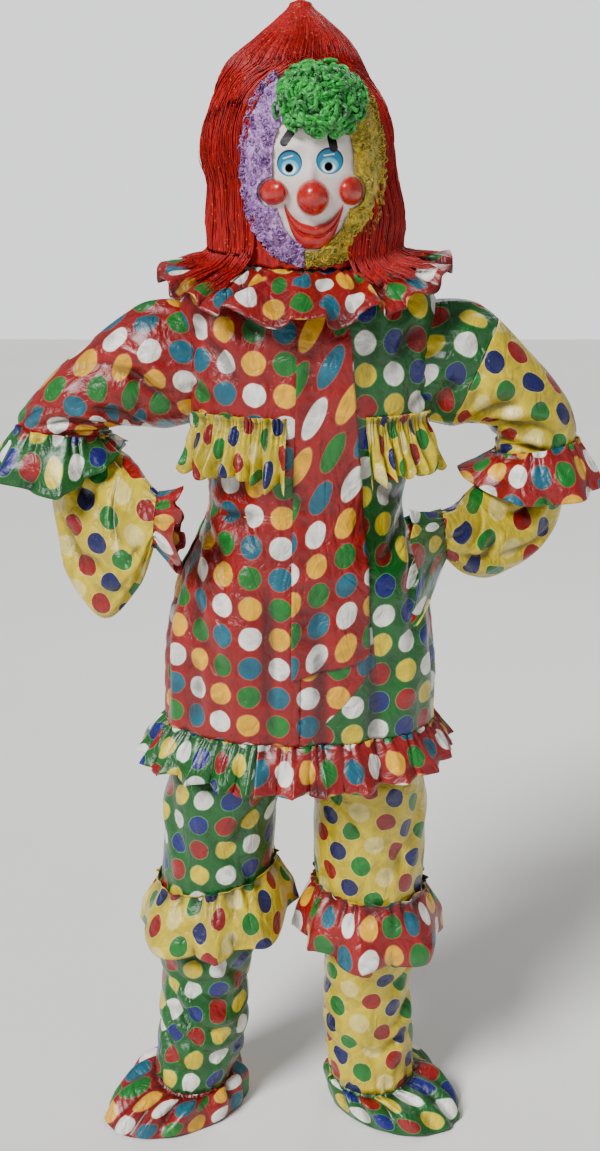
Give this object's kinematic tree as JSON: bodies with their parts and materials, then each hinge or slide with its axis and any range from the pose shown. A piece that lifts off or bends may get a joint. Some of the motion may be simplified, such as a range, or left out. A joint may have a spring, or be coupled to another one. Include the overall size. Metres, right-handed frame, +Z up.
{
  "type": "clown costume",
  "caption": "Motley satin clown suit as worn, hands on hips: ruffled tunic, trousers, hair hood and face mask, all hollow.",
  "frame": {"origin": "between the wearer's shoulders, 1.380 m above the soles, where the wearer holds the costume up", "axes": "+X to the viewer's right, +Y to the back, +Z up; the front faces -Y"},
  "size_m": [0.9353, 0.4054, 1.7491],
  "materials": {
    "satin_red": "red satin with white, teal, green and amber dots, long and slanted on the front flap",
    "satin_green": "green satin with blue, white, yellow and red dots",
    "satin_yellow": "yellow satin with red, navy, green and pale dots",
    "hair_red": "long straight red synthetic hair",
    "mask_white": "moulded mask, painted white",
    "mask_red": "painted red",
    "curls_lilac": "lilac curls",
    "curls_yellow": "yellow curls",
    "curls_green": "green curls"
  },
  "bodies": {
    "root": {"tunic_front_left": "satin_red", "tunic_front_right": "satin_green", "tunic_back_right": "satin_green", "tunic_back_left": "satin_red", "front_flap": "satin_red", "chest_ruffle_left": "satin_yellow", "chest_ruffle_right": "satin_yellow", "collar_ruffle": "satin_red", "hem_ruffle_left": "satin_green", "hem_ruffle_right": "satin_red", "sleeve_left": "satin_red", "sleeve_right": "satin_green", "sleeve_right_band": "satin_yellow", "lower_sleeve_left": "satin_yellow", "lower_sleeve_right": "satin_yellow", "elbow_ruffle_left": "satin_green", "elbow_ruffle_right": "satin_red", "wrist_frill_left": "satin_red", "wrist_frill_right": "satin_green", "trousers_left": "satin_green", "trousers_right": "satin_yellow", "knee_ruffle_left": "satin_yellow", "knee_ruffle_right": "satin_red", "ankle_ruffle_left": "satin_red", "ankle_ruffle_right": "satin_green", "hood": "hair_red", "hood_locks_left": "hair_red", "hood_locks_right": "hair_red", "mask": "mask_white", "mask_nose": "mask_red", "mask_cheek_left": "mask_red", "mask_cheek_right": "mask_red", "mask_lips": "mask_red", "curls_lilac": "curls_lilac", "curls_yellow": "curls_yellow", "curls_green": "curls_green"}
  },
  "joints": []
}
